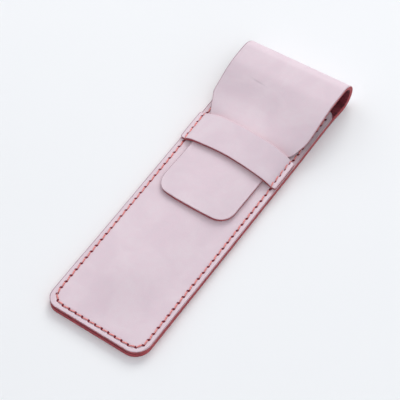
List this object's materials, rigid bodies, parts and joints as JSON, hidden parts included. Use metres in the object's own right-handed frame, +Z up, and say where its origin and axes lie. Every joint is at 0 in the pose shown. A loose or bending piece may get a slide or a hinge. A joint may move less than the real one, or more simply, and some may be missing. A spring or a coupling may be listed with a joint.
{
  "type": "single pen sleeve",
  "caption": "Slim leather pocket for one pen, with a folded flap whose rounded tongue tucks under a sewn keeper strap.",
  "frame": {"origin": "middle of the underside, where the back rests on a table, half way between the closed end and the fold", "axes": "+X across the sleeve, +Y from the closed end towards the fold, +Z up from the back to the flap"},
  "size_m": [0.056, 0.1766, 0.0154],
  "materials": {
    "body_leather": "matte pale pink leather with raw dark red edges",
    "strap_leather": "matte pale pink leather with raw dark red edges",
    "flap_leather": "matte pale pink leather, dark red suede on the inner face",
    "waxed_thread": "waxed coral red linen thread"
  },
  "bodies": {
    "pocket": {"back_panel": "body_leather", "front_panel": "body_leather", "keeper_strap": "strap_leather", "seam_thread": "waxed_thread"},
    "rear": {"flap_rear": "flap_leather"},
    "front": {"flap_front": "flap_leather"},
    "tongue": {"tongue": "flap_leather"}
  },
  "joints": [
    {"name": "flap_bow", "type": "hinge", "parent": "pocket", "child": "rear", "pos_m": [0, 0.08676, 0.0102], "axis": [-1, 0, 0], "range_deg": [0, 62]},
    {"name": "flap_crease", "type": "hinge", "parent": "rear", "child": "front", "pos_m": [0, 0.0687, 0.0141], "axis": [-1, 0, 0], "range_deg": [-124, 0]},
    {"name": "tongue_slide", "type": "hinge", "parent": "front", "child": "tongue", "pos_m": [0, 0.05065, 0.0102], "axis": [-1, 0, 0], "range_deg": [0, 62]}
  ],
  "couplings": [
    {"joint": "flap_crease", "follows": "flap_bow", "ratio": -2},
    {"joint": "tongue_slide", "follows": "flap_bow", "ratio": 1}
  ]
}
